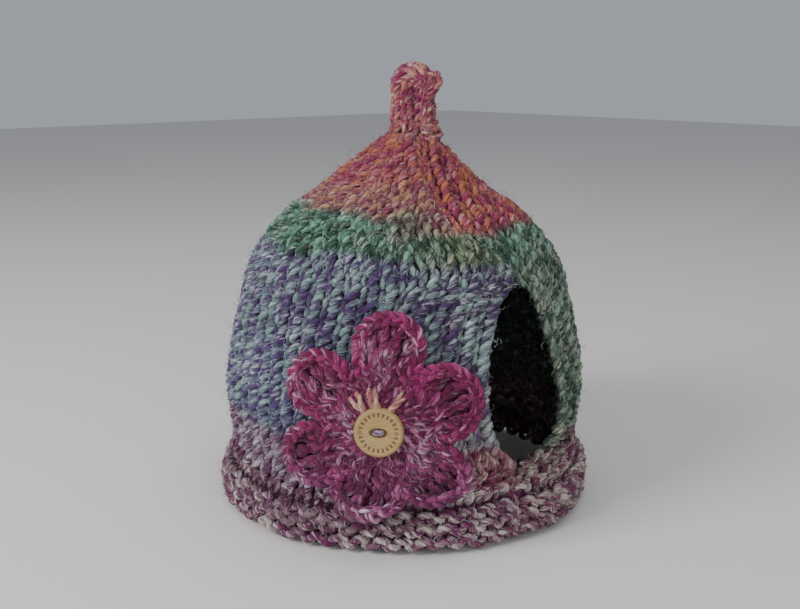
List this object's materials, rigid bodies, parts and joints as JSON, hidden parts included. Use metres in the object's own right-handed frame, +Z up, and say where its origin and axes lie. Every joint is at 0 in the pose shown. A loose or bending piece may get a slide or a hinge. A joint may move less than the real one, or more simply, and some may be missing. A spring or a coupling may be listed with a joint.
{
  "type": "tea cosy",
  "caption": "Knitted tea cosy in two panels with a wide and a narrow side opening, a garter hem, a looped topknot and a crochet flower with a wooden button.",
  "frame": {"origin": "middle of the hem on the surface that the cosy stands on", "axes": "+Z up to the topknot, +X to the wide side opening, -X to the narrow side opening, -Y out of the front panel"},
  "size_m": [0.186, 0.1859, 0.2048],
  "materials": {
    "front_panel": "marled purple, mint and green wool with a pink and orange crown and a cream and magenta hem, fuzzy",
    "back_panel": "marled dark green and cream wool with a pink and orange crown and a cream and magenta hem, fuzzy",
    "topknot": "marled magenta, orange and cream wool, fuzzy",
    "flower": "marled magenta and pink wool, fuzzy",
    "button": "pale wood, satin, with a ring of plain burnt marks",
    "button_yarn": "dark purple wool"
  },
  "bodies": {
    "root": {"front_panel": "front_panel", "back_panel": "back_panel", "topknot": "topknot", "flower": "flower", "button": "button", "button_yarn": "button_yarn"}
  },
  "joints": []
}
